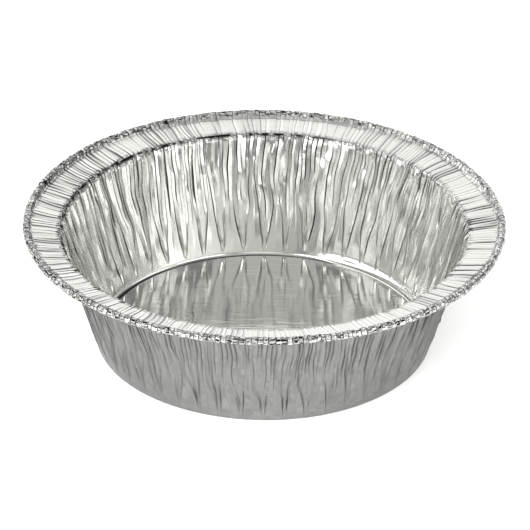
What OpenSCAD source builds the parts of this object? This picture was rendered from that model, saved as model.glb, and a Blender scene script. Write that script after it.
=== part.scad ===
// Foil tart pan: one drawn sheet of aluminium foil, in millimetres.
// The pan stands on Z = 0, and Z is the axis of the pan.

/* [Pan] */
// Outside diameter over the rolled bead
rim_d = 127; // [120:0.5:150]
// Height from the table to the top of the bead
depth = 35.4; // [25:0.1:45]
// Outside diameter where the corner meets the wall
base_d = 89; // [80:0.5:93]
// Lean of the wall, in degrees from upright
draft = 15.9; // [12:0.1:18]
// Thickness of the foil
foil_t = 0.08; // [0.05:0.01:0.14]

/* [Base] */
// Radius of the corner between base and wall
corner_r = 1.2; // [0.8:0.1:2]
// Width of the flat ring that the pan stands on
ring_w = 0.5; // [0.4:0.1:1.5]
// Width of the sloping step between ring and panel
step_w = 0.3; // [0.2:0.1:1]
// Height of the floor panel above the ring
panel_rise = 0.7; // [0.3:0.05:1]

/* [Rim] */
// Diameter of the rolled bead
bead_d = 2.1; // [1.6:0.1:3]
// Height of the bead's middle above the flange's edge
bead_lift = 0.45; // [0.3:0.05:0.6]
// Gap between the flange's edge and the side of the bead
bead_gap = 0.35; // [0.25:0.05:0.6]
// Angle at which the flange rises towards the bead, in degrees
flange_a = 9; // [4:0.5:14]
// Radius of the shoulder between wall and flange
shoulder_r = 1.7; // [1.2:0.1:3]

/* [Pleats] */
// Number of pleats round the wall, each of which has four ridges at its top
pleats = 50; // [36:1:50]
// Height of the ridges at the top of the wall
ridge_h = 0.55; // [0.2:0.05:0.8]
// Height of the ridges on the flange, which is pressed flat
crimp_h = 0.2; // [0.06:0.02:0.3]
// Height of the pleats' pointed feet above the table
foot_z = 2; // [1.6:0.1:3]
// Height at which neighbouring pleats meet
fan_z = 13.5; // [10:0.5:16]
// Height at which each ridge has become two
split_z = 17.5; // [17:0.5:20]
// How far a pleat's ridges wander round the base
wander = 0.45; // [0:0.05:0.6]
// Pick of the wander
seed = 7; // [1:1:99]

/* [Hidden] */
curl_end = -145;       // angle round the bead at which the foil ends
bead_turns = [152, 90, 45, 0, -65, curl_end];
curl_in = 0.25;        // how far the roll has tightened at the cut edge
foot_spread = 0.12;    // width of a pleat at its foot, as a share of its width higher up
foot_share = 0.3;      // height of the ridges at the foot, as a share of ridge_h
fan_share = 0.9;       // height of the ridges where pleats meet, as a share of ridge_h
least_share = 0.85;    // height of the lowest pleat's ridges, as a share of the highest's
half_t = foil_t / 2;

// Direction of the wall, in degrees from outwards, and the middle of the bead
wall_a = 90 - draft;
bead_r = bead_d / 2 - half_t;
bead_mid = [(rim_d - bead_d) / 2, depth - bead_d / 2];

// The wall and the flange are as long as they must be to close the section
bend_r = corner_r - half_t;
bend_mid = [base_d / 2 - half_t - bend_r * sin(wall_a), corner_r];
wall_foot = bend_mid + bend_r * [sin(wall_a), -cos(wall_a)];
flange_edge = bead_mid - [bead_r + bead_gap, bead_lift];
shoulder_run = shoulder_r * [sin(wall_a) - sin(flange_a), cos(flange_a) - cos(wall_a)];
open_run = flange_edge - wall_foot - shoulder_run;
wall_l = (open_run.y * cos(flange_a) - open_run.x * sin(flange_a)) / sin(wall_a - flange_a);
wall_top = wall_foot + wall_l * [cos(wall_a), sin(wall_a)];
flange_foot = wall_top + shoulder_run;
ring_x = bend_mid.x - ring_w;

function wall(z) = wall_foot + (z - wall_foot.y) * [tan(draft), 1];
function bend(a) = bend_mid + bend_r * [sin(a), -cos(a)];
function bead(a) =
    let (tight = curl_in * max(0, a / curl_end))
    bead_mid + (bead_r - tight) * [cos(a), sin(a)];

// Rows of the foil from the floor panel to the cut edge, each of them
// [point of the section, its direction, columns per pleat, ridge height, foot width]
rows = [
    [[ring_x - step_w, half_t + panel_rise], 0, 2, 0, 1],
    [[ring_x, half_t], 0, 2, 0, 1],
    [bend(0), 0, 2, 0, 1],
    [bend(wall_a * 0.6), wall_a * 0.6, 2, 0, 1],
    [wall(foot_z), wall_a, 4, ridge_h * foot_share, foot_spread],
    [wall(fan_z), wall_a, 4, ridge_h * fan_share, 1],
    [wall(split_z), wall_a, 8, ridge_h, 1],
    [wall_top, wall_a, 8, ridge_h, 1],
    [flange_foot, flange_a, 8, crimp_h, 1],
    [flange_edge, flange_a, 8, crimp_h, 1],
    for (a = bead_turns) [bead(a), a - 90, 2, 0, 1]
];
last = len(rows) - 1;

// How far each pleat is turned round the pan, in degrees, and how high its ridges are
wander_a = wander / (PI * base_d) * 360;
shifts = rands(-wander_a, wander_a, pleats, seed);
swells = rands(least_share, 1, pleats, seed + 1);

// Angle round the pan of column c of pleat p, whose odd columns are its ridges
function turn(row, p, c) =
    let (
        share = c / row[2],
        spread = row[2] == 4 && c % 2 == 1 ? (share - 0.5) * row[4] + 0.5 : share
    )
    360 / pleats * (p + spread) + (c == 0 ? 0 : shifts[p]);

// Points of one row, where side is 1 on the food's side and -1 on the table's
function ring(row, side) = [
    for (p = [0:pleats - 1])
        for (c = [0:row[2] - 1])
            let (
                a = turn(row, p, c),
                ridge = c % 2 == 1 ? row[3] * swells[p] : 0,
                out = row[0] + (side * half_t + ridge) * [-sin(row[1]), cos(row[1])]
            )
            [out.x * cos(a), out.x * sin(a), out.y]
];

// Number of points in a row, the place of its first one, and that of any one
function count(i) = rows[i][2] * pleats;
function start(i) = i == 0 ? 0 : start(i - 1) + count(i - 1);
starts = [for (i = [0:last + 1]) start(i)];
function at(i, n) = starts[i] + n % count(i);

// Triangles between a row and a next one with k times as many columns
function widen(i, j, k) = [
    for (n = [0:count(i) - 1])
        let (near = at(i, n), far = at(i, n + 1), half = floor(k / 2))
        each [
            for (m = [0:1:k - 1])
                [m < half ? near : far, at(j, k * n + m), at(j, k * n + m + 1)],
            [near, at(j, k * n + half), far]
        ]
];

function strip(i) =
    let (a = count(i), b = count(i + 1))
    a <= b ? widen(i, i + 1, b / a) : turned(widen(i + 1, i, a / b), 0);

// The same faces seen from behind, with their points moved on by a number
function turned(faces, by) = [for (f = faces) [for (k = [len(f) - 1:-1:0]) f[k] + by]];

module pan() {
    rim_n = count(last);
    skin = concat(
        [[for (n = [0:count(0) - 1]) n]],
        [for (i = [0:last - 1]) each strip(i)]
    );
    cut_edge = [
        for (n = [0:rim_n - 1])
            let (a = at(last, n), b = at(last, n + 1), by = starts[last + 1])
            each [[a, a + by, b + by], [a, b + by, b]]
    ];
    color("silver")
    polyhedron(
        points = concat(
            [for (row = rows) each ring(row, -1)],
            [for (row = rows) each ring(row, 1)]
        ),
        faces = concat(skin, turned(skin, starts[last + 1]), cut_edge),
        convexity = 6
    );
}

pan();
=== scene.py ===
# Foil tart pan: one sheet of aluminium foil, drawn into a cup, pleated and rolled at its rim
import math

import bpy
from mathutils import Matrix, Vector


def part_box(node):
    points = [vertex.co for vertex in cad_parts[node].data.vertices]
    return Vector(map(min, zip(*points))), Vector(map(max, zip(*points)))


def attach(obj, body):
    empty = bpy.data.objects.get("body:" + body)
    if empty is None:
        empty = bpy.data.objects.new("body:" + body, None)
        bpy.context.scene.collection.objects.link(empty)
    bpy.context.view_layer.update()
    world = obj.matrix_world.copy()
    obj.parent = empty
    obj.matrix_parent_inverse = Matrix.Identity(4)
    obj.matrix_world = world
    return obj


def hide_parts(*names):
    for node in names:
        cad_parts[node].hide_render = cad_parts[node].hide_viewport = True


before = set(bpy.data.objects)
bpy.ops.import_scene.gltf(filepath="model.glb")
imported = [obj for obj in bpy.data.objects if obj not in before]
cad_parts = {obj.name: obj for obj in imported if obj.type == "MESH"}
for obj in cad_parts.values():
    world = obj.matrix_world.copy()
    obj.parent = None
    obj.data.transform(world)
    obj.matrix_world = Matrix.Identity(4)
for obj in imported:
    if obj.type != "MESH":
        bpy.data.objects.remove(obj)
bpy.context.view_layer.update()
scene = bpy.context.scene
mm = 0.001
crumplesPerMetre = 850.0        # how fine the foil is crumpled at its bead and shoulder: about 1.2 mm
print("frame loaded")


# Adds a node, sets its options and fills its inputs: sockets and nodes are linked, plain values are set.
# A list fills the inputs that are in use in their order, and a dictionary fills them by name.
def addNode(tree, kind, inputs=(), **options):
    node = tree.nodes.new(kind)
    for option, value in options.items():
        setattr(node, option, value)
    used = [socket for socket in node.inputs if socket.enabled]
    pairs = inputs.items() if isinstance(inputs, dict) else enumerate(inputs)
    for key, value in pairs:
        socket = node.inputs[key] if isinstance(key, str) else used[key]
        if isinstance(value, bpy.types.Node):
            value = next(output for output in value.outputs if output.enabled)
        if isinstance(value, bpy.types.NodeSocket):
            tree.links.new(value, socket)
        else:
            socket.default_value = value
    return node


def hexColour(code):  # sRGB hex to linear
    parts = [int(code[i:i + 2], 16) / 255 for i in (1, 3, 5)]
    return [p / 12.92 if p < 0.04045 else ((p + 0.055) / 1.055) ** 2.4 for p in parts] + [1.0]


# Camera: a long lens above the front of the pan
cameraSettings = {
    "focalPixels": 4681.0,
    "pictureWidth": 530.0,      # pixels
    "distance": 1239.7,         # mm from the middle of the pan
    "middleHeight": 16.0,       # mm above the table
    "elevation": 29.35,         # degrees
    "roll": 0.54,               # degrees
    "middleX": 263.91,          # where the middle of the pan lies in the picture, in pixels
    "middleY": 283.13,
}


def placeCamera():
    s = cameraSettings
    elevation, roll = math.radians(s["elevation"]), math.radians(s["roll"])
    back = Vector((0, -math.cos(elevation), math.sin(elevation)))
    right = Vector((1, 0, 0))
    up = back.cross(right)
    middle = Vector((0, 0, s["middleHeight"] * mm))
    spot = middle + back * s["distance"] * mm
    # the lens looks a little past the middle of the pan, which needs no shift
    dx, dy = s["pictureWidth"] / 2 - s["middleX"], s["pictureWidth"] / 2 - s["middleY"]
    along = math.cos(roll) * dx + math.sin(roll) * dy
    down = -math.sin(roll) * dx + math.cos(roll) * dy
    perPixel = s["distance"] * mm / s["focalPixels"]
    ahead = (middle + (right * along - up * down) * perPixel - spot).normalized()
    level = ahead.cross(Vector((0, 0, 1))).normalized()
    upright = level.cross(ahead)
    axisX = level * math.cos(roll) + upright * math.sin(roll)
    axisY = upright * math.cos(roll) - level * math.sin(roll)
    data = bpy.data.cameras.new("camera")
    data.sensor_width = 36
    data.lens = s["focalPixels"] / s["pictureWidth"] * data.sensor_width
    data.clip_end = 50
    camera = bpy.data.objects.new("camera", data)
    scene.collection.objects.link(camera)
    camera.matrix_world = Matrix((
        (axisX.x, axisY.x, -ahead.x, spot.x),
        (axisX.y, axisY.y, -ahead.y, spot.y),
        (axisX.z, axisY.z, -ahead.z, spot.z),
        (0, 0, 0, 1),
    ))
    scene.camera = camera


placeCamera()
print("camera placed")


# Foil pan
panSizes = {
    "baseDiameter": 89.0,       # mm, outside, where the corner meets the wall
    "wallLean": 15.9,           # degrees from upright
    "foilThickness": 0.08,
    "cornerRadius": 1.2,
    "ringWidth": 0.5,           # the flat ring that the pan stands on
    "stepWidth": 0.3,
    "panelRise": 0.7,
    "beadDiameter": 2.1,
    "beadLift": 0.45,
    "beadGap": 0.35,
    "flangeRise": 9.0,          # degrees
    "shoulderRadius": 0.9,
    "footHeight": 1.7,          # where the pleats' points lie
    "fanHeight": 13.5,          # where neighbouring pleats meet
    "footSpread": 0.2,          # width of a pleat's point, as a share of the pleat
    "pleats": 50,
    "foldsPerPleat": 6,
    "columnsPerFold": 3,
    "foldEdge": 0.15,           # how close to a fold line the foil is flat again, as a share of the way
    "facetTwist": 0.35,         # how far a facet turns from one line's tilt to the next one's
    "pleatShift": 0.03,         # unevenness round the pan, in pleats
    "foldWander": 0.16,
    "pleatSway": 0.5,
    "missingFolds": 0.15,       # share of the fold lines that hardly show
    "groupLean": 0.9,
    "lapHeight": 0.8,           # of the lapped edge beside a fold line, as a share of the line's depth
    "kinkDepth": 0.35,          # mm
    "shadedGapSide": 145.0,           # degrees round the pan: where the painted shade in the gap beside the floor panel is darkest
    "dentSide": 42.0,           # degrees round the pan: where the corner is dented in
    "dentDepth": 0.75,
    "seed": 5,
}


def mix(a, b, t):
    return a + (b - a) * min(1, max(0, t))


# The foil's section from the middle of the floor to the cut edge inside the bead. Each station has its place, its
# direction, its distance along the foil, and how strongly the folds show there.
def panSection(rimRadius, depth):
    s = panSizes
    half = s["foilThickness"] / 2
    wallAngle = math.radians(90 - s["wallLean"])
    flangeAngle = math.radians(s["flangeRise"])
    beadRadius = s["beadDiameter"] / 2 - half
    beadMid = (rimRadius - s["beadDiameter"] / 2, depth - s["beadDiameter"] / 2)
    bendRadius = s["cornerRadius"] - half
    bendMid = (s["baseDiameter"] / 2 - half - bendRadius * math.sin(wallAngle), s["cornerRadius"])
    foot = (bendMid[0] + bendRadius * math.sin(wallAngle), bendMid[1] - bendRadius * math.cos(wallAngle))
    edge = (beadMid[0] - beadRadius - s["beadGap"], beadMid[1] - s["beadLift"])
    shoulder = s["shoulderRadius"]
    run = (
        shoulder * (math.sin(wallAngle) - math.sin(flangeAngle)),
        shoulder * (math.cos(flangeAngle) - math.cos(wallAngle)),
    )
    gap = (edge[0] - foot[0] - run[0], edge[1] - foot[1] - run[1])
    wallLength = (gap[1] * math.cos(flangeAngle) - gap[0] * math.sin(flangeAngle)) \
        / math.sin(wallAngle - flangeAngle)
    top = (foot[0] + wallLength * math.cos(wallAngle), foot[1] + wallLength * math.sin(wallAngle))
    ringX = bendMid[0] - s["ringWidth"]
    panelZ = half + s["panelRise"]
    # gap: painted shade in the gap beside the floor panel and along the shoulder; it doesn't move the foil
    plain = {"fan": s["footSpread"], "swing": 0, "lift": 0, "tilt": 0, "groove": 0, "crumple": 0,
             "rise": -1, "panel": 0, "gap": 0, "pressed": 0, "dent": 0}
    stations = []

    def add(x, z, direction, **folds):
        stations.append({"x": x, "z": z, "direction": direction, **plain, **folds})

    # the floor panel, the step down to the ring, and the ring
    for x in (0, 15, 30, ringX - s["stepWidth"] - 0.35):
        add(x, panelZ, 0, panel=1)
    add(ringX - s["stepWidth"], panelZ - 0.05, -0.4)
    add(ringX - s["stepWidth"] * 0.4, (panelZ + half) / 2, -1.1)
    add(ringX, half, 0, gap=0.6)
    # the corner
    for share, gap in ((0, 0.7), (0.33, 0.62), (0.66, 0), (1, 0)):
        a = wallAngle * share
        add(bendMid[0] + bendRadius * math.sin(a), bendMid[1] - bendRadius * math.cos(a), a, gap=gap,
            dent=mix(0, 1, share * 1.4))
    # the wall, where the folds begin at the pleats' points
    heights = [1.5, 2.0, 2.6, 3.4, 4.5, 5.9, 7.5, 9.2, 11.0, 12.8, 14.6, 16.4, 18.3, 20.3, 22.3, 24.3, 26.3, 28.2,
               30.0, 31.2]
    for z in heights:
        fanned = (z - s["footHeight"]) / (s["fanHeight"] - s["footHeight"])
        grown = (z - s["footHeight"]) / 4
        add(
            foot[0] + (z - foot[1]) / math.tan(wallAngle), z, wallAngle,
            fan=mix(s["footSpread"], 1, fanned), swing=mix(0, 1, fanned),
            lift=mix(0, 0.62, grown) * mix(1, 0.2, fanned - 0.3),
            tilt=mix(0.0, 0.4, grown) + mix(0, 0.6, fanned), groove=mix(0, 0.3, grown),
            crumple=mix(0, 0.004, grown), rise=(z - s["footHeight"]) / (top[1] - s["footHeight"]),
            dent=mix(0.55, 0, (z - 1.5) / 0.8),
        )
    # the shoulder and the flange
    for share in (0, 0.25, 0.5, 0.75, 1):
        a = wallAngle + (flangeAngle - wallAngle) * share
        add(
            top[0] + shoulder * (math.sin(wallAngle) - math.sin(a)),
            top[1] + shoulder * (math.cos(a) - math.cos(wallAngle)), a,
            fan=1, swing=1, tilt=mix(0.6, 0.16, share), groove=0.2, crumple=0.14, rise=1.01 + share * 0.1,
            pressed=share,
            gap=mix(0.4, 1, share * 2) * mix(1, 0, share * 2 - 1),
        )
    last = stations[-1]
    for share in (0.15, 0.4, 0.7, 1):
        add(
            mix(last["x"], edge[0], share), mix(last["z"], edge[1], share), flangeAngle,
            fan=1, swing=1, tilt=0.12, groove=0.08, crumple=0.008, rise=1.2, pressed=1,
        )
    # the rolled bead, which tightens towards the cut edge
    for degrees in (150, 115, 85, 55, 25, -5, -35, -70, -110, -145):
        a = math.radians(degrees)
        r = beadRadius + min(0, degrees / 145) * 0.25
        add(
            beadMid[0] + r * math.cos(a), beadMid[1] + r * math.sin(a), a - math.pi / 2,
            fan=1, swing=1, tilt=0.06, groove=0.05, crumple=0.24, rise=1.2, pressed=0.5,
        )
    along = 0
    for i, station in enumerate(stations):
        if i:
            along += math.dist((station["x"], station["z"]), (stations[i - 1]["x"], stations[i - 1]["z"]))
        station["along"] = along
    return stations


# The section as a row of points, which the folding tree sweeps round the pan
def sectionObject(stations):
    mesh = bpy.data.meshes.new("panSection")
    mesh.from_pydata([(p["x"] * mm, 0, p["z"] * mm) for p in stations], [], [])
    facing = mesh.attributes.new("facing", "FLOAT_VECTOR", "POINT")
    for i, p in enumerate(stations):
        facing.data[i].vector = (-math.sin(p["direction"]), 0, math.cos(p["direction"]))
    for name in ("fan", "swing", "rise", "panel", "gap", "pressed", "dent"):
        attribute = mesh.attributes.new(name, "FLOAT", "POINT")
        attribute.data.foreach_set("value", [p[name] for p in stations])
    for name in ("lift", "tilt", "groove", "crumple", "along"):
        attribute = mesh.attributes.new(name, "FLOAT", "POINT")
        attribute.data.foreach_set("value", [p[name] * mm for p in stations])
    piece = bpy.data.objects.new("panSection", mesh)
    scene.collection.objects.link(piece)
    return piece


# Reads a number that is stored with each point of a geometry, at one of its points
def stored(tree, geometry, name, index, kind="FLOAT"):
    value = addNode(tree, "GeometryNodeInputNamedAttribute", [name], data_type=kind)
    return addNode(tree, "GeometryNodeSampleIndex", [geometry, value, index], data_type=kind)


def foldingTree(brightFoil, floorFoil, mattFoil):
    tree = bpy.data.node_groups.new("foldedPan", "GeometryNodeTree")
    tree.interface.new_socket(name="Section", in_out="INPUT", socket_type="NodeSocketGeometry")
    for name in ("Pleats", "Folds per pleat", "Columns per fold", "Seed"):
        tree.interface.new_socket(name=name, in_out="INPUT", socket_type="NodeSocketInt")
    for name in ("Fold edge", "Facet twist", "Foil thickness", "Pleat shift", "Fold wander", "Pleat sway",
                 "Group lean", "Missing folds", "Lap height", "Kink depth", "Gap shade side", "Dent side", "Dent depth"):
        tree.interface.new_socket(name=name, in_out="INPUT", socket_type="NodeSocketFloat")
    tree.interface.new_socket(name="Pan", in_out="OUTPUT", socket_type="NodeSocketGeometry")
    given = addNode(tree, "NodeGroupInput").outputs
    section, seed = given["Section"], given["Seed"]
    rows = addNode(tree, "GeometryNodeAttributeDomainSize", [section], component="MESH").outputs["Point Count"]
    index = addNode(tree, "GeometryNodeInputIndex").outputs[0]
    lines = addNode(tree, "FunctionNodeIntegerMath", [given["Pleats"], given["Folds per pleat"]],
                    operation="MULTIPLY")

    # One point for each fold line at each station of the section
    lineGrid = addNode(tree, "GeometryNodeMeshGrid", {"Vertices X": lines, "Vertices Y": rows}).outputs["Mesh"]
    line = addNode(tree, "FunctionNodeIntegerMath", [index, rows], operation="DIVIDE_FLOOR")
    row = addNode(tree, "FunctionNodeIntegerMath", [index, rows], operation="MODULO")
    along = stored(tree, section, "along", row)
    fan = stored(tree, section, "fan", row)
    rise = stored(tree, section, "rise", row)
    pleat = addNode(tree, "FunctionNodeIntegerMath", [line, given["Folds per pleat"]], operation="DIVIDE_FLOOR")
    order = addNode(tree, "FunctionNodeIntegerMath", [line, given["Folds per pleat"]], operation="MODULO")
    between = addNode(tree, "ShaderNodeMath", [order, 0.0, 0.1], operation="COMPARE")
    share = addNode(tree, "ShaderNodeMath", [order, given["Folds per pleat"]], operation="DIVIDE")
    offset = addNode(tree, "ShaderNodeMath", [share, 0.5], operation="SUBTRACT")
    reach = addNode(tree, "ShaderNodeMath", [fan, between], operation="MAXIMUM")
    spread = addNode(tree, "ShaderNodeMath", [offset, reach], operation="MULTIPLY")
    inner = addNode(tree, "ShaderNodeMath", [addNode(tree, "ShaderNodeMath", [offset], operation="ABSOLUTE"), 0.25],
                    operation="LESS_THAN")
    # the line wanders by itself, its pleat is set a little to one side, and groups of pleats lean together. The
    # noise of one line is 7.31 from the next one's, and changes every 17 mm up the wall.
    lineSpot = addNode(tree, "ShaderNodeCombineXYZ", {
        "X": addNode(tree, "ShaderNodeMath", [line, 7.31], operation="MULTIPLY"),
        "Y": addNode(tree, "ShaderNodeMath", [along, 60.0], operation="MULTIPLY"),
        "Z": seed,
    })
    wander = addNode(tree, "ShaderNodeTexNoise", {"Vector": lineSpot, "Scale": 1.0, "Detail": 1.0})
    wanderBy = addNode(tree, "ShaderNodeMath", [
        addNode(tree, "ShaderNodeMath", [wander, 0.5], operation="SUBTRACT"), given["Fold wander"]],
        operation="MULTIPLY")
    wanderBy = addNode(tree, "ShaderNodeMath", [wanderBy, reach], operation="MULTIPLY")
    shift = addNode(tree, "FunctionNodeRandomValue", {"ID": pleat, "Seed": seed}, data_type="FLOAT")
    shiftBy = addNode(tree, "ShaderNodeMath", [
        addNode(tree, "ShaderNodeMath", [shift.outputs["Value"], 0.5], operation="SUBTRACT"),
        given["Pleat shift"]], operation="MULTIPLY")
    lineAngle = addNode(tree, "ShaderNodeMath", [
        addNode(tree, "ShaderNodeMath", [line, lines], operation="DIVIDE"), math.tau], operation="MULTIPLY")
    groupSpot = addNode(tree, "ShaderNodeCombineXYZ", {
        "X": addNode(tree, "ShaderNodeMath", [lineAngle], operation="COSINE"),
        "Y": addNode(tree, "ShaderNodeMath", [lineAngle], operation="SINE"),
        "Z": addNode(tree, "ShaderNodeMath", [along, 8.0, seed], operation="MULTIPLY_ADD"),
    })
    lean = addNode(tree, "ShaderNodeTexNoise", {"Vector": groupSpot, "Scale": 3.0, "Detail": 1.0})
    leanBy = addNode(tree, "ShaderNodeMath", [
        addNode(tree, "ShaderNodeMath", [lean, 0.5], operation="SUBTRACT"), given["Group lean"]],
        operation="MULTIPLY")
    # neighbouring pleats sway much alike: with more than half a step between them, their lines could cross
    pleatSpot = addNode(tree, "ShaderNodeCombineXYZ", {
        "X": addNode(tree, "ShaderNodeMath", [pleat, 0.5], operation="MULTIPLY"),
        "Y": addNode(tree, "ShaderNodeMath", [along, 70.0], operation="MULTIPLY"),
        "Z": seed,
    })
    sway = addNode(tree, "ShaderNodeTexNoise", {"Vector": pleatSpot, "Scale": 1.0, "Detail": 1.0})
    leanBy = addNode(tree, "ShaderNodeMath", [
        addNode(tree, "ShaderNodeMath", [sway, 0.5], operation="SUBTRACT"), given["Pleat sway"], leanBy],
        operation="MULTIPLY_ADD")
    leanBy = addNode(tree, "ShaderNodeMath", [leanBy, stored(tree, section, "swing", row)], operation="MULTIPLY")
    place = addNode(tree, "ShaderNodeMath", [pleat, 0.5], operation="ADD")
    for part in (spread, wanderBy, shiftBy, leanBy):
        place = addNode(tree, "ShaderNodeMath", [place, part], operation="ADD")
    # the facet beside it tilts up or down at random, and the middle of a pleat stands up
    tiltSpot = addNode(tree, "ShaderNodeVectorMath", [lineSpot, (1.0, 1.1, 1.0), (31.7, 0.0, 5.3)],
                       operation="MULTIPLY_ADD")
    tilt = addNode(tree, "ShaderNodeTexNoise", {"Vector": tiltSpot, "Scale": 1.0, "Detail": 1.0})
    tiltBy = addNode(tree, "ShaderNodeMath", [
        addNode(tree, "ShaderNodeMath", [tilt, 0.5], operation="SUBTRACT"),
        addNode(tree, "ShaderNodeMath", [stored(tree, section, "tilt", row), 1.8], operation="MULTIPLY")],
        operation="MULTIPLY")
    liftBy = addNode(tree, "ShaderNodeMath", [stored(tree, section, "lift", row), inner], operation="MULTIPLY")
    # how deep the line is creased: it starts at its own height, and fades in and out
    chance = addNode(tree, "FunctionNodeRandomValue", {"ID": line, "Seed": seed}, data_type="FLOAT")
    middle = addNode(tree, "ShaderNodeMath", [offset, 0.0, 0.1], operation="COMPARE")
    start = addNode(tree, "ShaderNodeMath", [between, 0.4, -0.05], operation="MULTIPLY_ADD")
    start = addNode(tree, "ShaderNodeMath", [inner, 0.42, start], operation="MULTIPLY_ADD")
    start = addNode(tree, "ShaderNodeMath", [middle, -0.2, start], operation="MULTIPLY_ADD")
    late = addNode(tree, "ShaderNodeMath", [
        addNode(tree, "ShaderNodeMath", [inner, between], operation="ADD"), 0.26, 0.1], operation="MULTIPLY_ADD")
    start = addNode(tree, "ShaderNodeMath", [chance.outputs["Value"], late, start], operation="MULTIPLY_ADD")
    risen = addNode(tree, "ShaderNodeMath", [rise, start], operation="SUBTRACT")
    shows = addNode(tree, "ShaderNodeMath", [risen, 8.0], operation="MULTIPLY", use_clamp=True)
    tiltBy = addNode(tree, "ShaderNodeMath", [tiltBy, shows], operation="MULTIPLY")
    fadeSpot = addNode(tree, "ShaderNodeVectorMath", [lineSpot, (3.7, 0.0, 11.9)], operation="ADD")
    fade = addNode(tree, "ShaderNodeTexNoise", {"Vector": fadeSpot, "Scale": 1.0, "Detail": 0.0})
    fadeBy = addNode(tree, "ShaderNodeMath", [fade, 4.0, -1.2], operation="MULTIPLY_ADD", use_clamp=True)
    # some of the lines hardly show, but never the two that edge a pleat at its point
    odds = addNode(tree, "FunctionNodeRandomValue", {
        "ID": line, "Seed": addNode(tree, "FunctionNodeIntegerMath", [seed, 7], operation="ADD")}, data_type="FLOAT")
    missing = addNode(tree, "ShaderNodeMath", [odds.outputs["Value"], given["Missing folds"]], operation="LESS_THAN")
    loose = addNode(tree, "ShaderNodeMath", [inner, between], operation="ADD")
    present = addNode(tree, "ShaderNodeMath", [
        addNode(tree, "ShaderNodeMath", [missing, loose], operation="MULTIPLY"), -0.85, 1.0], operation="MULTIPLY_ADD")
    fadeBy = addNode(tree, "ShaderNodeMath", [fadeBy, present], operation="MULTIPLY")
    crease = addNode(tree, "ShaderNodeMath", [shows, fadeBy], operation="MULTIPLY")
    # here and there it is kinked, with painted shade in the kink, and below the point of each pleat a small dot of
    # painted shade stands for a dimple
    kinkSpot = addNode(tree, "ShaderNodeVectorMath", [tiltSpot, (1.7, 3.4, 1.0)], operation="MULTIPLY")
    kink = addNode(tree, "ShaderNodeTexNoise", {"Vector": kinkSpot, "Scale": 1.0, "Detail": 0.0})
    kink = addNode(tree, "ShaderNodeMath", [kink, 9.0, -5.9], operation="MULTIPLY_ADD", use_clamp=True)
    kink = addNode(tree, "ShaderNodeMath", [kink, shows], operation="MULTIPLY")
    kink = addNode(tree, "ShaderNodeMath", [kink, addNode(
        tree, "ShaderNodeMath", [stored(tree, section, "tilt", row), 1 / mm], operation="MULTIPLY")],
        operation="MULTIPLY")
    height = addNode(tree, "ShaderNodeMath", [
        addNode(tree, "ShaderNodeMath", [kink, -1.0], operation="MULTIPLY"), given["Kink depth"], liftBy],
        operation="MULTIPLY_ADD")
    crease = addNode(tree, "ShaderNodeMath", [crease, kink], operation="MAXIMUM")
    tip = addNode(tree, "ShaderNodeMath", [rise, 0.0, 0.008], operation="COMPARE")
    tip = addNode(tree, "ShaderNodeMath", [tip, inner], operation="MULTIPLY")
    crease = addNode(tree, "ShaderNodeMath", [crease, tip], operation="MAXIMUM")
    lapSide = addNode(tree, "ShaderNodeMath", [chance.outputs["Value"], 0.5], operation="GREATER_THAN")
    outStart = addNode(tree, "ShaderNodeMath", [chance.outputs["Value"], 0.55, 0.22], operation="MULTIPLY_ADD")
    outRisen = addNode(tree, "ShaderNodeMath", [rise, outStart], operation="SUBTRACT")
    outShows = addNode(tree, "ShaderNodeMath", [outRisen, 10.0], operation="MULTIPLY", use_clamp=True)
    outCrease = addNode(tree, "ShaderNodeMath", [outShows, fadeBy], operation="MULTIPLY")
    for name, value in (("place", place), ("height", height), ("tilt", tiltBy), ("crease", crease),
                        ("outCrease", outCrease), ("lapSide", lapSide)):
        lineGrid = addNode(tree, "GeometryNodeStoreNamedAttribute",
                           {"Geometry": lineGrid, "Name": name, "Value": value}, data_type="FLOAT").outputs[0]

    # The foil itself: a grid that goes up the inside, round the cut edge and back down the outside
    columns = addNode(tree, "FunctionNodeIntegerMath", [lines, given["Columns per fold"]], operation="MULTIPLY")
    ends = addNode(tree, "FunctionNodeIntegerMath", [columns, 1], operation="ADD")
    both = addNode(tree, "FunctionNodeIntegerMath", [rows, 2], operation="MULTIPLY")
    grid = addNode(tree, "GeometryNodeMeshGrid", {"Vertices X": ends, "Vertices Y": both}).outputs["Mesh"]
    column = addNode(tree, "FunctionNodeIntegerMath", [index, both], operation="DIVIDE_FLOOR")
    step = addNode(tree, "FunctionNodeIntegerMath", [index, both], operation="MODULO")
    mirrored = addNode(tree, "FunctionNodeIntegerMath", [both, step], operation="SUBTRACT")
    mirrored = addNode(tree, "FunctionNodeIntegerMath", [mirrored, 1], operation="SUBTRACT")
    station = addNode(tree, "FunctionNodeIntegerMath", [step, mirrored], operation="MINIMUM")
    outside = addNode(tree, "ShaderNodeMath", [step, mirrored], operation="GREATER_THAN")
    before = addNode(tree, "FunctionNodeIntegerMath", [column, given["Columns per fold"]], operation="DIVIDE_FLOOR")
    after = addNode(tree, "FunctionNodeIntegerMath", [before, 1], operation="ADD")
    stepInFold = addNode(tree, "FunctionNodeIntegerMath", [column, given["Columns per fold"]], operation="MODULO")
    inside = addNode(tree, "ShaderNodeMath", [given["Fold edge"], -2.0, 1.0], operation="MULTIPLY_ADD")
    inside = addNode(tree, "ShaderNodeMath", [
        inside, addNode(tree, "ShaderNodeMath", [given["Columns per fold"], 2.0], operation="SUBTRACT")],
        operation="DIVIDE")
    part = addNode(tree, "ShaderNodeMath", [
        addNode(tree, "ShaderNodeMath", [stepInFold, 1.0], operation="SUBTRACT"), inside, given["Fold edge"]],
        operation="MULTIPLY_ADD", use_clamp=True)
    found = []
    for side in (before, after):
        number = addNode(tree, "FunctionNodeIntegerMath", [side, lines], operation="MODULO")
        laps = addNode(tree, "FunctionNodeIntegerMath", [side, lines], operation="DIVIDE_FLOOR")
        spot = addNode(tree, "FunctionNodeIntegerMath", [number, rows, station], operation="MULTIPLY_ADD")
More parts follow.
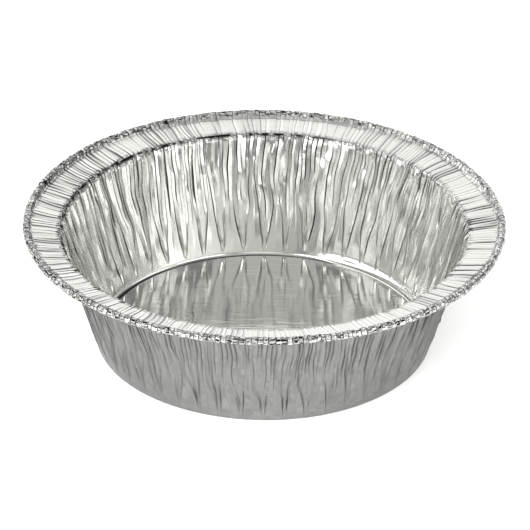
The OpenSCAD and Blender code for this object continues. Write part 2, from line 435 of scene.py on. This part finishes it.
        where = addNode(tree, "ShaderNodeMath", [laps, given["Pleats"], stored(tree, lineGrid, "place", spot)],
                        operation="MULTIPLY_ADD")
        found.append((where, stored(tree, lineGrid, "height", spot), spot))
    (placeA, heightA, spotA), (placeB, heightB, spotB) = found
    where = addNode(tree, "ShaderNodeMix", [part, placeA, placeB], data_type="FLOAT")
    level = addNode(tree, "ShaderNodeMix", [part, heightA, heightB], data_type="FLOAT")
    onLine = addNode(tree, "ShaderNodeMath", [part, 0.01], operation="LESS_THAN")
    # a facet mostly keeps the tilt of the line before it as far as the next one, and the line lies halfway
    previous = addNode(tree, "FunctionNodeIntegerMath", [before, lines], operation="ADD")
    previous = addNode(tree, "FunctionNodeIntegerMath", [previous, 1], operation="SUBTRACT")
    previous = addNode(tree, "FunctionNodeIntegerMath", [previous, lines], operation="MODULO")
    previous = addNode(tree, "FunctionNodeIntegerMath", [previous, rows, station], operation="MULTIPLY_ADD")
    halfway = addNode(tree, "ShaderNodeMath", [onLine, 0.5], operation="MULTIPLY")
    twist = addNode(tree, "ShaderNodeMath", [part, given["Facet twist"]], operation="MULTIPLY")
    facet = addNode(tree, "ShaderNodeMix", [
        halfway, stored(tree, lineGrid, "tilt", spotA), stored(tree, lineGrid, "tilt", previous)], data_type="FLOAT")
    facet = addNode(tree, "ShaderNodeMix", [twist, facet, stored(tree, lineGrid, "tilt", spotB)], data_type="FLOAT")
    level = addNode(tree, "ShaderNodeMath", [level, facet], operation="ADD")
    creaseIn = stored(tree, lineGrid, "crease", spotA)
    creaseOut = stored(tree, lineGrid, "outCrease", spotA)
    # a fold laps over one side of its line, which gives that side a raised edge
    edgeA = addNode(tree, "ShaderNodeMath", [part, given["Fold edge"], 0.01], operation="COMPARE")
    edgeB = addNode(tree, "ShaderNodeMath", [
        addNode(tree, "ShaderNodeMath", [1.0, part], operation="SUBTRACT"), given["Fold edge"], 0.01],
        operation="COMPARE")
    lapA = addNode(tree, "ShaderNodeMath", [edgeA, stored(tree, lineGrid, "lapSide", spotA)], operation="MULTIPLY")
    lapA = addNode(tree, "ShaderNodeMath", [lapA, creaseIn], operation="MULTIPLY")
    lapB = addNode(tree, "ShaderNodeMath", [1.0, stored(tree, lineGrid, "lapSide", spotB)], operation="SUBTRACT")
    lapB = addNode(tree, "ShaderNodeMath", [lapB, edgeB], operation="MULTIPLY")
    lapB = addNode(tree, "ShaderNodeMath", [lapB, stored(tree, lineGrid, "crease", spotB)], operation="MULTIPLY")
    lap = addNode(tree, "ShaderNodeMath", [lapA, lapB], operation="ADD")
    lap = addNode(tree, "ShaderNodeMath", [lap, given["Lap height"]], operation="MULTIPLY")
    groove = addNode(tree, "ShaderNodeMath", [creaseIn, onLine], operation="MULTIPLY")
    groove = addNode(tree, "ShaderNodeMath", [groove, lap], operation="SUBTRACT")
    groove = addNode(tree, "ShaderNodeMath", [groove, stored(tree, section, "groove", station)],
                     operation="MULTIPLY")
    # the crease lines are darkened in colour: painted shade in the creases, on both sides of the foil
    creased = addNode(tree, "ShaderNodeMix", [outside, creaseIn, creaseOut], data_type="FLOAT")
    creased = addNode(tree, "ShaderNodeMath", [creased, onLine], operation="MULTIPLY")
    raised = addNode(tree, "ShaderNodeMath", [level, groove], operation="SUBTRACT")
    turn = addNode(tree, "ShaderNodeMath", [where, given["Pleats"]], operation="DIVIDE")
    angle = addNode(tree, "ShaderNodeMath", [turn, math.tau], operation="MULTIPLY")
    cosine = addNode(tree, "ShaderNodeMath", [angle], operation="COSINE")
    # the painted shade in the flange's creases is faint but for the two sides, where the lapped edges get some too
    sides = addNode(tree, "ShaderNodeMath", [cosine, 0.25], operation="SUBTRACT")
    sides = addNode(tree, "ShaderNodeMath", [
        addNode(tree, "ShaderNodeMath", [sides], operation="ABSOLUTE"), 0.8, 0.12], operation="MULTIPLY_ADD",
        use_clamp=True)
    faint = addNode(tree, "ShaderNodeMix", [stored(tree, section, "pressed", station), 1.0, sides], data_type="FLOAT")
    creased = addNode(tree, "ShaderNodeMath", [creased, faint], operation="MULTIPLY")
    bold = addNode(tree, "ShaderNodeMath", [sides, stored(tree, section, "pressed", station)], operation="MULTIPLY")
    bold = addNode(tree, "ShaderNodeMath", [bold, lapA], operation="MULTIPLY")
    bold = addNode(tree, "ShaderNodeMath", [bold, 0.75], operation="MULTIPLY")
    creased = addNode(tree, "ShaderNodeMath", [creased, bold], operation="MAXIMUM")
    sine = addNode(tree, "ShaderNodeMath", [angle], operation="SINE")
    sectionPoint = addNode(tree, "ShaderNodeSeparateXYZ", [
        addNode(tree, "GeometryNodeSampleIndex", [section, addNode(tree, "GeometryNodeInputPosition"), station],
                data_type="FLOAT_VECTOR")])
    smooth = addNode(tree, "ShaderNodeCombineXYZ", {
        "X": addNode(tree, "ShaderNodeMath", [sectionPoint.outputs["X"], cosine], operation="MULTIPLY"),
        "Y": addNode(tree, "ShaderNodeMath", [sectionPoint.outputs["X"], sine], operation="MULTIPLY"),
        "Z": sectionPoint.outputs["Z"],
    })
    crumple = addNode(tree, "ShaderNodeTexNoise", {"Vector": smooth, "Scale": crumplesPerMetre, "Detail": 1.0})
    crumple = addNode(tree, "ShaderNodeMath", [crumple, 0.5], operation="SUBTRACT")
    crumple = addNode(tree, "ShaderNodeMath", [crumple, 3.0], operation="MULTIPLY")
    # painted shade in the bottoms of the deep crumples as well
    valleyShade = addNode(tree, "ShaderNodeMath", [crumple, stored(tree, section, "crumple", station)],
                     operation="MULTIPLY")
    valleyShade = addNode(tree, "ShaderNodeMath", [valleyShade, -5000.0, -0.4], operation="MULTIPLY_ADD", use_clamp=True)
    creased = addNode(tree, "ShaderNodeMath", [creased, valleyShade], operation="MAXIMUM")
    # painted shade too in the narrow gap beside the pressed panel and along the shoulder, darkest towards one side of
    # the pan
    gapShading = addNode(tree, "ShaderNodeMath", [
        addNode(tree, "ShaderNodeMath", [angle, given["Gap shade side"]], operation="SUBTRACT")], operation="COSINE")
    gapShading = addNode(tree, "ShaderNodeMath", [gapShading, 1.3, 0.25], operation="MULTIPLY_ADD", use_clamp=True)
    broken = addNode(tree, "ShaderNodeMath", [crumple, 5.0, 0.5], operation="MULTIPLY_ADD", use_clamp=True)
    low = addNode(tree, "ShaderNodeMath", [stored(tree, section, "rise", station), 0.5], operation="LESS_THAN")
    broken = addNode(tree, "ShaderNodeMath", [broken, low], operation="MAXIMUM")
    gapShading = addNode(tree, "ShaderNodeMath", [gapShading, broken], operation="MULTIPLY")
    gap = addNode(tree, "ShaderNodeMath", [gapShading, stored(tree, section, "gap", station)], operation="MULTIPLY")
    creased = addNode(tree, "ShaderNodeMath", [creased, gap], operation="MAXIMUM")
    raised = addNode(tree, "ShaderNodeMath", [crumple, stored(tree, section, "crumple", station), raised],
                     operation="MULTIPLY_ADD")
    # the corner is dented in at one side
    dented = addNode(tree, "ShaderNodeMath", [
        addNode(tree, "ShaderNodeMath", [angle, given["Dent side"]], operation="SUBTRACT")], operation="COSINE")
    dented = addNode(tree, "ShaderNodeMath", [dented, 9.0, -7.6], operation="MULTIPLY_ADD", use_clamp=True)
    dented = addNode(tree, "ShaderNodeMath", [dented, stored(tree, section, "dent", station)], operation="MULTIPLY")
    raised = addNode(tree, "ShaderNodeMath", [dented, given["Dent depth"], raised], operation="MULTIPLY_ADD")
    half = addNode(tree, "ShaderNodeMath", [given["Foil thickness"], 0.5], operation="MULTIPLY")
    layer = addNode(tree, "ShaderNodeMath", [outside, -2.0, 1.0], operation="MULTIPLY_ADD")
    raised = addNode(tree, "ShaderNodeMath", [half, layer, raised], operation="MULTIPLY_ADD")
    facing = addNode(tree, "ShaderNodeSeparateXYZ", [stored(tree, section, "facing", station, "FLOAT_VECTOR")])
    radius = addNode(tree, "ShaderNodeMath", [facing.outputs["X"], raised, sectionPoint.outputs["X"]],
                     operation="MULTIPLY_ADD")
    placed = addNode(tree, "ShaderNodeCombineXYZ", {
        "X": addNode(tree, "ShaderNodeMath", [radius, cosine], operation="MULTIPLY"),
        "Y": addNode(tree, "ShaderNodeMath", [radius, sine], operation="MULTIPLY"),
        "Z": addNode(tree, "ShaderNodeMath", [facing.outputs["Z"], raised, sectionPoint.outputs["Z"]],
                     operation="MULTIPLY_ADD"),
    })
    # distances round and along the foil in metres, for the patterns in its finish: it is 0.34 m round the wall
    flatSpot = addNode(tree, "ShaderNodeCombineXYZ", {
        "X": addNode(tree, "ShaderNodeMath", [turn, 0.34], operation="MULTIPLY"),
        "Y": stored(tree, section, "along", station),
    })
    foil = grid
    for name, kind, domain, value in (
        # crease: how much painted shade the colour gets, in creases, kinks, crumple hollows and the gap beside the
        # panel
        ("crease", "FLOAT", "POINT", creased),
        # crest: where the food side's colour gets a painted highlight, on the lapped edge beside a fold line
        ("crest", "FLOAT", "POINT", lap),
        ("crumple", "FLOAT", "POINT", addNode(tree, "ShaderNodeMath", [
            addNode(tree, "ShaderNodeMath", [cosine, -0.3, 0.75], operation="MULTIPLY_ADD"),
            stored(tree, section, "crumple", station)], operation="MULTIPLY")),
        ("outside", "FLOAT", "POINT", outside),
        ("column", "INT", "POINT", column),
        ("folded", "FLOAT", "POINT", addNode(tree, "ShaderNodeMath", [
            addNode(tree, "ShaderNodeMath", [
                addNode(tree, "ShaderNodeMath", [onLine, outside], operation="MAXIMUM"), 0.5], operation="LESS_THAN"),
            addNode(tree, "ShaderNodeMath", [stored(tree, section, "rise", station), -0.5],
                    operation="GREATER_THAN")], operation="MULTIPLY")),
        ("panel", "FLOAT", "POINT", stored(tree, section, "panel", station)),
        ("foilMap", "FLOAT2", "CORNER", flatSpot),
    ):
        foil = addNode(tree, "GeometryNodeStoreNamedAttribute", {"Geometry": foil, "Name": name, "Value": value},
                       data_type=kind, domain=domain).outputs[0]
    foil = addNode(tree, "GeometryNodeSetPosition", {"Geometry": foil, "Position": placed})
    # the outside's faces are split as the inside's are, so the two sides of the foil never cross
    isOutside = addNode(tree, "GeometryNodeInputNamedAttribute", ["outside"], data_type="FLOAT")
    isOutside = addNode(tree, "FunctionNodeCompare", [isOutside, 0.6], data_type="FLOAT", operation="GREATER_THAN")
    foil = addNode(tree, "GeometryNodeTriangulate", {"Mesh": foil, "Selection": isOutside},
                   quad_method="FIXED_ALTERNATE")
    foil = addNode(tree, "GeometryNodeTriangulate", {"Mesh": foil}, quad_method="FIXED")
    foil = addNode(tree, "GeometryNodeMergeByDistance", {"Geometry": foil, "Distance": 0.000001})
    foil = addNode(tree, "GeometryNodeSetShadeSmooth", {"Geometry": foil, "Shade Smooth": True})
    # the edges of the facets are crisp: those that run along a column beside a fold line
    corners = addNode(tree, "GeometryNodeInputMeshEdgeVertices")
    columnNumber = addNode(tree, "GeometryNodeInputNamedAttribute", ["column"], data_type="INT")
    first, second = [
        addNode(tree, "GeometryNodeFieldAtIndex", {"Index": corners.outputs[i], "Value": columnNumber}, data_type="INT")
        for i in (0, 1)]
    crisp = addNode(tree, "FunctionNodeCompare", [first, second], data_type="INT", operation="EQUAL")
    isFolded = addNode(tree, "GeometryNodeInputNamedAttribute", ["folded"], data_type="FLOAT")
    isFolded = addNode(tree, "FunctionNodeCompare", [isFolded, 0.9], data_type="FLOAT", operation="GREATER_THAN")
    crisp = addNode(tree, "FunctionNodeBooleanMath", [crisp, isFolded], operation="AND")
    foil = addNode(tree, "GeometryNodeSetShadeSmooth",
                   {"Geometry": foil, "Selection": crisp, "Shade Smooth": False}, domain="EDGE")
    foil = addNode(tree, "GeometryNodeRealizeInstances", {"Geometry": foil})
    isFloor = addNode(tree, "GeometryNodeInputNamedAttribute", ["panel"], data_type="FLOAT")
    isFloor = addNode(tree, "FunctionNodeCompare", [isFloor, 0.5], data_type="FLOAT", operation="GREATER_THAN")
    foil = addNode(tree, "GeometryNodeSetMaterial", {"Geometry": foil, "Material": brightFoil})
    foil = addNode(tree, "GeometryNodeSetMaterial",
                   {"Geometry": foil, "Selection": isFloor, "Material": floorFoil})
    foil = addNode(tree, "GeometryNodeSetMaterial",
                   {"Geometry": foil, "Selection": isOutside, "Material": mattFoil})
    output = addNode(tree, "NodeGroupOutput")
    tree.links.new(foil.outputs[0], output.inputs["Pan"])
    return tree


# Colours and gloss of the foil's three surfaces
foilFinish = {
    "bright": "#D6D6D4",
    # painted highlight on the crests of the folds
    "crestHighlight": "#FFFFFE",     # the crests of the folds
    # painted shade in the creases
    "brightCreaseShade": "#161615",
    "brightRoughness": 0.17,
    "floorDark": "#DEDEDC",
    "floorLight": "#F0F0ED",
    "floorRoughness": 0.08,
    "mattShadeDark": "#7B7B7B",
    "mattShadeLight": "#909090",
    "mattCreaseShade": "#2A2A29",
    "mattRoughness": 0.46,
}


# Drawn aluminium foil, food side: bright-rolled, so it mirrors its surroundings, broken up by fine crinkles. The crests
# of the folds are lightened as a painted highlight, and the bottoms of the creases are darkened as painted shade.
def brightFoilMaterial():
    s = foilFinish
    material = bpy.data.materials.new("brightRolledFoil")
    material.use_nodes = True
    tree = material.node_tree
    tree.nodes.clear()
    # painted shade: the crease lines are darkened towards near black
    crease = addNode(tree, "ShaderNodeAttribute", attribute_name="crease")
    thin = addNode(tree, "ShaderNodeMath", [crease.outputs["Fac"], 1.5], operation="MULTIPLY", use_clamp=True)
    # where the foil is rolled or bent sharply it is crumpled every millimetre or so, with painted shade in the hollows
    crumple = addNode(tree, "ShaderNodeAttribute", attribute_name="crumple").outputs["Fac"]
    foilMap = addNode(tree, "ShaderNodeAttribute", attribute_name="foilMap").outputs["Vector"]
    spot = addNode(tree, "ShaderNodeVectorMath", [foilMap, (crumplesPerMetre, 1000.0, 1.0)], operation="MULTIPLY")
    crumpled = addNode(tree, "ShaderNodeTexNoise", {"Vector": spot, "Scale": 1.0, "Detail": 1.0})
    hollowShade = addNode(tree, "ShaderNodeMapRange", [crumpled, 0.492, 0.458, 0.0, 1.0])
    much = addNode(tree, "ShaderNodeMath", [crumple, 7000.0], operation="MULTIPLY", use_clamp=True)
    hollowShade = addNode(tree, "ShaderNodeMath", [hollowShade, much], operation="MULTIPLY")
    thin = addNode(tree, "ShaderNodeMath", [thin, hollowShade], operation="MAXIMUM")
    # painted highlight: the lapped edge beside a fold line is lightened towards white
    crest = addNode(tree, "ShaderNodeAttribute", attribute_name="crest").outputs["Fac"]
    crest = addNode(tree, "ShaderNodeMath", [crest, 2.0], operation="POWER")
    colour = addNode(tree, "ShaderNodeMix", [crest, hexColour(s["bright"]), hexColour(s["crestHighlight"])],
                     data_type="RGBA")
    colour = addNode(tree, "ShaderNodeMix", [thin, colour, hexColour(s["brightCreaseShade"])], data_type="RGBA")
    # crinkles about 1 mm wide and 9 mm long run up the wall
    fine = addNode(tree, "ShaderNodeVectorMath", [foilMap, (900.0, 110.0, 1.0)], operation="MULTIPLY")
    crinkle = addNode(tree, "ShaderNodeTexNoise", {"Vector": fine, "Scale": 1.0, "Detail": 1.0})
    bump = addNode(tree, "ShaderNodeBump", {"Height": crinkle.outputs[0], "Distance": 0.000008})
    crumpled = addNode(tree, "ShaderNodeMath", [crumpled, crumple], operation="MULTIPLY")
    bump = addNode(tree, "ShaderNodeBump", {"Height": crumpled, "Distance": 1.4, "Normal": bump})
    shader = addNode(tree, "ShaderNodeBsdfPrincipled",
                     {"Base Color": colour, "Metallic": 1.0, "Roughness": s["brightRoughness"], "Normal": bump})
    addNode(tree, "ShaderNodeOutputMaterial", {"Surface": shader})
    return material


# The pressed floor: the same foil, where the rollers' fine lines and soft waves are left
def floorFoilMaterial():
    s = foilFinish
    material = bpy.data.materials.new("pressedFloorFoil")
    material.use_nodes = True
    tree = material.node_tree
    tree.nodes.clear()
    spot = addNode(tree, "ShaderNodeTexCoord").outputs["Object"]
    # rollers' lines 0.5 mm wide and 11 mm long, coarser than the real ones, which would not show
    lines = addNode(tree, "ShaderNodeVectorMath", [spot, (90.0, 2200.0, 1.0)], operation="MULTIPLY")
    lines = addNode(tree, "ShaderNodeTexNoise", {"Vector": lines, "Scale": 1.0, "Detail": 2.0})
    waves = addNode(tree, "ShaderNodeTexNoise", {"Vector": spot, "Scale": 90.0, "Detail": 1.0})
    bump = addNode(tree, "ShaderNodeBump", {"Height": lines.outputs[0], "Distance": 0.000025})
    bump = addNode(tree, "ShaderNodeBump", {"Height": waves.outputs[0], "Distance": 0.00011, "Normal": bump})
    tone = addNode(tree, "ShaderNodeMapRange", [lines.outputs[0], 0.3, 0.7, 0.0, 1.0])
    colour = addNode(tree, "ShaderNodeMix", [tone, hexColour(s["floorDark"]), hexColour(s["floorLight"])],
                     data_type="RGBA")
    shader = addNode(tree, "ShaderNodeBsdfPrincipled",
                     {"Base Color": colour, "Metallic": 1.0, "Roughness": s["floorRoughness"], "Normal": bump})
    addNode(tree, "ShaderNodeOutputMaterial", {"Surface": shader})
    return material


# The table side: matt-rolled, so it only shines softly. Its colour is darkened far below aluminium's: painted shade,
# standing in for the dim surroundings it mirrors
def mattFoilMaterial():
    s = foilFinish
    material = bpy.data.materials.new("mattRolledFoil")
    material.use_nodes = True
    tree = material.node_tree
    tree.nodes.clear()
    # painted shade in the outside's creases
    crease = addNode(tree, "ShaderNodeAttribute", attribute_name="crease")
    thin = addNode(tree, "ShaderNodeMath", [crease.outputs["Fac"], 0.85], operation="MULTIPLY")
    foilMap = addNode(tree, "ShaderNodeAttribute", attribute_name="foilMap").outputs["Vector"]
    # crinkles 0.8 mm wide and 11 mm long, darker in their furrows as painted shade
    fine = addNode(tree, "ShaderNodeVectorMath", [foilMap, (1300.0, 90.0, 1.0)], operation="MULTIPLY")
    crinkle = addNode(tree, "ShaderNodeTexNoise", {"Vector": fine, "Scale": 1.0, "Detail": 1.0})
    tone = addNode(tree, "ShaderNodeMapRange", [crinkle.outputs[0], 0.3, 0.7, 0.0, 1.0])
    colour = addNode(tree, "ShaderNodeMix", [tone, hexColour(s["mattShadeDark"]), hexColour(s["mattShadeLight"])],
                     data_type="RGBA")
    colour = addNode(tree, "ShaderNodeMix", [thin, colour, hexColour(s["mattCreaseShade"])], data_type="RGBA")
    bump = addNode(tree, "ShaderNodeBump", {"Height": crinkle.outputs[0], "Distance": 0.00005})
    shader = addNode(tree, "ShaderNodeBsdfPrincipled",
                     {"Base Color": colour, "Metallic": 1.0, "Roughness": s["mattRoughness"], "Normal": bump})
    addNode(tree, "ShaderNodeOutputMaterial", {"Surface": shader})
    return material


def makePan():
    low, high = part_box("pan")
    s = panSizes
    treeValues = {
        "Pleats": s["pleats"],
        "Folds per pleat": s["foldsPerPleat"],
        "Columns per fold": s["columnsPerFold"],
        "Fold edge": s["foldEdge"],
        "Facet twist": s["facetTwist"],
        "Foil thickness": s["foilThickness"] * mm,
        "Pleat shift": s["pleatShift"],
        "Fold wander": s["foldWander"],
        "Pleat sway": s["pleatSway"],
        "Group lean": s["groupLean"],
        "Missing folds": s["missingFolds"],
        "Lap height": s["lapHeight"],
        "Kink depth": s["kinkDepth"] * mm,
        "Gap shade side": math.radians(s["shadedGapSide"]),
        "Dent side": math.radians(s["dentSide"]),
        "Dent depth": s["dentDepth"] * mm,
        "Seed": s["seed"],
    }
    section = sectionObject(panSection(high.x / mm, high.z / mm))
    folds = section.modifiers.new("folds", "NODES")
    folds.node_group = foldingTree(brightFoilMaterial(), floorFoilMaterial(), mattFoilMaterial())
    for item in folds.node_group.interface.items_tree:
        if item.in_out == "INPUT" and item.name in treeValues:
            folds[item.identifier] = treeValues[item.name]
    graph = bpy.context.evaluated_depsgraph_get()
    mesh = bpy.data.meshes.new_from_object(section.evaluated_get(graph), depsgraph=graph)
    mesh.name = "foilPan"
    bpy.data.objects.remove(section)
    pan = bpy.data.objects.new("foilPan", mesh)
    scene.collection.objects.link(pan)
    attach(pan, "root")
    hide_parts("pan")
    print("pan folded:", len(mesh.vertices), "points,", len(mesh.polygons), "faces")
    return pan


makePan()


# Table and light
def plainMaterial(name, code, roughness):
    material = bpy.data.materials.new(name)
    material.use_nodes = True
    shader = material.node_tree.nodes["Principled BSDF"]
    shader.inputs["Base Color"].default_value = hexColour(code)
    shader.inputs["Roughness"].default_value = roughness
    return material


def makeTable():
    size = 4.0
    mesh = bpy.data.meshes.new("table")
    mesh.from_pydata([(-size, -size, 0), (size, -size, 0), (size, size, 0), (-size, size, 0)], [], [(0, 1, 2, 3)])
    mesh.materials.append(plainMaterial("paintedBoard", "#F2F2F0", 0.7))
    table = bpy.data.objects.new("table", mesh)
    scene.collection.objects.link(table)


# Softboxes round the pan: azimuth from the camera towards its right, elevation, half the width and half the height
# in degrees, and how bright its face is. The strips give the folds their light and dark sides.
roomLight = {
    "grey": 0.29,
    "distance": 3.0,            # m
    "tint": "#FFFFFC",
    "softboxes": {
        "back": (180, 26, 30, 25, 1.05),
        "backTop": (180, 64, 30, 12, 0.95),
        "key": (-98, 31, 34, 13, 2.0),
        "right": (88, 28, 16, 12, 1.8),
        "frontLeft": (-44, 22, 20, 16, 3.3),
        "front": (2, 24, 12, 14, 1.0),
        "frontRight": (46, 21, 16, 15, 2.7),
        "leftTop": (-94, 54, 9, 8, 1.1),
        "rightTop": (92, 54, 9, 8, 1.1),
        "overhead": (0, 70, 26, 24, 0.47),
    },
    "tableLamps": {             # place and size in m and power in W; they light the table and aren't mirrored
        "frontFill": ((-0.4, -2.4, 1.1), 2.4, 60.0),
        "leftFill": ((-2.4, -0.8, 1.1), 1.6, 105.0),
        "rightFill": ((2.4, -0.8, 1.1), 1.6, 75.0),
    },
}


def aimed(data, spot):
    lamp = bpy.data.objects.new(data.name, data)
    lamp.location = spot
    lamp.rotation_euler = (-Vector(spot)).to_track_quat("-Z", "Y").to_euler()
    scene.collection.objects.link(lamp)
    return lamp


def makeLight():
    s = roomLight
    for name, (azimuth, elevation, halfWidth, halfHeight, brightness) in s["softboxes"].items():
        a, e, w, h = [math.radians(v) for v in (azimuth, elevation, halfWidth, halfHeight)]
        data = bpy.data.lights.new(name, "AREA")
        data.shape = "RECTANGLE"
        data.size = 2 * s["distance"] * math.tan(w)
        data.size_y = 2 * s["distance"] * math.tan(h)
        data.energy = brightness * math.pi * data.size * data.size_y
        data.color = hexColour(s["tint"])[:3]
        aimed(data, [s["distance"] * v for v in (math.sin(a) * math.cos(e), -math.cos(a) * math.cos(e), math.sin(e))])
    for name, (spot, size, power) in s["tableLamps"].items():
        data = bpy.data.lights.new(name, "AREA")
        data.shape = "DISK"
        data.size = size
        data.energy = power
        aimed(data, spot).visible_glossy = False
    world = bpy.data.worlds.new("room")
    world.use_nodes = True
    world.node_tree.nodes["Background"].inputs["Color"].default_value = [s["grey"]] * 3 + [1]
    scene.world = world
    scene.view_settings.view_transform = "Standard"


makeTable()
makeLight()
print("table and lights placed")
